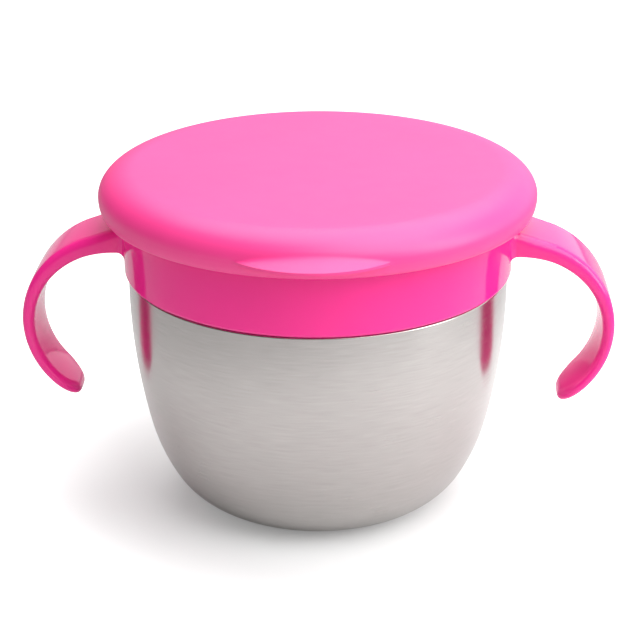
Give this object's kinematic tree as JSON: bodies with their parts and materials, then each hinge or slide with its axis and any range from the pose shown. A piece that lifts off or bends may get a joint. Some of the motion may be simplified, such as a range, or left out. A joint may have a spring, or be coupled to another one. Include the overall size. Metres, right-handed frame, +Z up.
{
  "type": "toddler snack container",
  "caption": "Round steel snack bowl with a handled plastic collar, a soft slit membrane that a small hand reaches through, and a press-on lid with a thumb tab.",
  "frame": {"origin": "centre of the base, on the surface that the bowl stands on", "axes": "+X towards one handle, -X towards the other, -Y towards the lid's thumb tab, +Z up"},
  "size_m": [0.1416, 0.107, 0.0834],
  "materials": {
    "steel": "horizontally brushed stainless steel",
    "collar_plastic": "glossy moulded polypropylene",
    "lid_plastic": "satin moulded plastic",
    "soft_membrane": "soft matt thermoplastic rubber"
  },
  "bodies": {
    "bowl": {"steel_bowl": "steel"},
    "collar": {"handle_collar": "collar_plastic", "flap_ring": "soft_membrane"},
    "flap_front": {"flap_front": "soft_membrane"},
    "flap_right": {"flap_right": "soft_membrane"},
    "flap_back": {"flap_back": "soft_membrane"},
    "flap_left": {"flap_left": "soft_membrane"},
    "lid": {"snap_lid": "lid_plastic"}
  },
  "joints": [
    {"name": "collar_lift", "type": "slide", "parent": "bowl", "child": "collar", "axis": [0, 0, 1], "range_m": [0, 0.08]},
    {"name": "lid_lift", "type": "slide", "parent": "collar", "child": "lid", "axis": [0, 0, 1], "range_m": [0, 0.06]},
    {"name": "flap_front_bend", "type": "hinge", "parent": "collar", "child": "flap_front", "pos_m": [0, -0.02331, 0.0687], "axis": [1, 0, 0], "range_deg": [-75, 25], "stiffness_Nm_per_rad": 0.002},
    {"name": "flap_right_bend", "type": "hinge", "parent": "collar", "child": "flap_right", "pos_m": [0.02331, 0, 0.0687], "axis": [0, 1, 0], "range_deg": [-75, 25], "stiffness_Nm_per_rad": 0.002},
    {"name": "flap_back_bend", "type": "hinge", "parent": "collar", "child": "flap_back", "pos_m": [0, 0.02331, 0.0687], "axis": [-1, 0, 0], "range_deg": [-75, 25], "stiffness_Nm_per_rad": 0.002},
    {"name": "flap_left_bend", "type": "hinge", "parent": "collar", "child": "flap_left", "pos_m": [-0.02331, 0, 0.0687], "axis": [0, -1, 0], "range_deg": [-75, 25], "stiffness_Nm_per_rad": 0.002}
  ]
}
